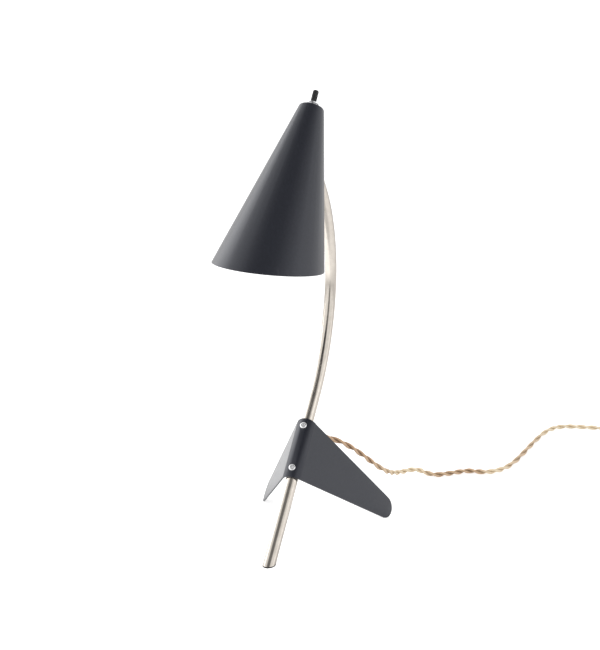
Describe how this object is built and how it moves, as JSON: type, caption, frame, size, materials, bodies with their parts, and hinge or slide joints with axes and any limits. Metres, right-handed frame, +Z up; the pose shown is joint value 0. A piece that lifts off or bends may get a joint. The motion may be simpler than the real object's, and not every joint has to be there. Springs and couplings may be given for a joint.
{
  "type": "desk lamp",
  "caption": "Desk lamp: conical metal shade on a bent tube that stands on its end and on a folded sheet foot, with a tilting knuckle, a switch knob on top and a twisted fabric cord.",
  "frame": {"origin": "centre of the lamp's bounding box at the table, without the cord", "axes": "+X to the lamp's right seen from the front, +Y to the back, +Z up"},
  "size_m": [0.4618, 0.6501, 0.4686],
  "materials": {
    "charcoal_paint": "matte charcoal powder coat",
    "brushed_nickel": "fine brushed, warm",
    "bright_nickel": "bright plated",
    "plain_steel": "plain zinc plated",
    "black_plastic": "matte",
    "black_rubber": "matte",
    "lead_sleeve": "satin sleeve",
    "white_insert": "glazed",
    "brass": "plain",
    "opal_glass": "opal",
    "cord_fabric": "braided two-strand twist, tan and gold"
  },
  "bodies": {
    "stand": {"rod": "brushed_nickel", "foot_plug": "black_plastic", "crow_foot": "charcoal_paint", "foot_screws": "bright_nickel", "screw_dowel": "plain_steel", "cord_grommet": "black_rubber", "inner_lead": "lead_sleeve", "knuckle_base": "brushed_nickel", "cord_run": "cord_fabric", "cord_coil": "cord_fabric", "coil_tie": "black_plastic", "plug_body": "black_plastic", "plug_blades": "brass"},
    "knuckle": {"knuckle_fork": "brushed_nickel", "pivot_screws": "bright_nickel", "nipple_washer": "plain_steel", "nipple_nut": "plain_steel", "nipple_lead": "lead_sleeve"},
    "head": {"shade": "charcoal_paint", "saddle_outer": "black_plastic", "saddle_inner": "black_plastic", "holder_bracket": "plain_steel", "holder_nipple": "plain_steel", "holder_nut": "plain_steel", "holder_shell": "black_plastic", "holder_insert": "white_insert", "holder_sleeve": "brass", "holder_contact": "brass", "bulb_base": "bright_nickel", "bulb_glass": "opal_glass", "switch_body": "black_plastic", "switch_bush": "bright_nickel", "switch_washer": "bright_nickel", "switch_nut": "bright_nickel", "switch_ring": "bright_nickel", "switch_lead": "lead_sleeve", "return_lead": "lead_sleeve", "holder_lead": "lead_sleeve"},
    "knob": {"switch_knob": "black_plastic", "switch_spindle": "brass"}
  },
  "joints": [
    {"name": "tilt", "type": "hinge", "parent": "stand", "child": "knuckle", "pos_m": [0, 0.04011, 0.39382], "axis": [-1, 0, 0], "range_deg": [-30, 60]},
    {"name": "shade_turn", "type": "hinge", "parent": "knuckle", "child": "head", "pos_m": [0, 0.04011, 0.39382], "axis": [0, 0.9722, -0.2341], "range_deg": [-64.6, 55.4]},
    {"name": "switch_turn", "type": "hinge", "parent": "head", "child": "knob", "pos_m": [0.0043, 0.02833, 0.45122], "axis": [0.0786, 0.4559, 0.8866], "continuous": true}
  ]
}
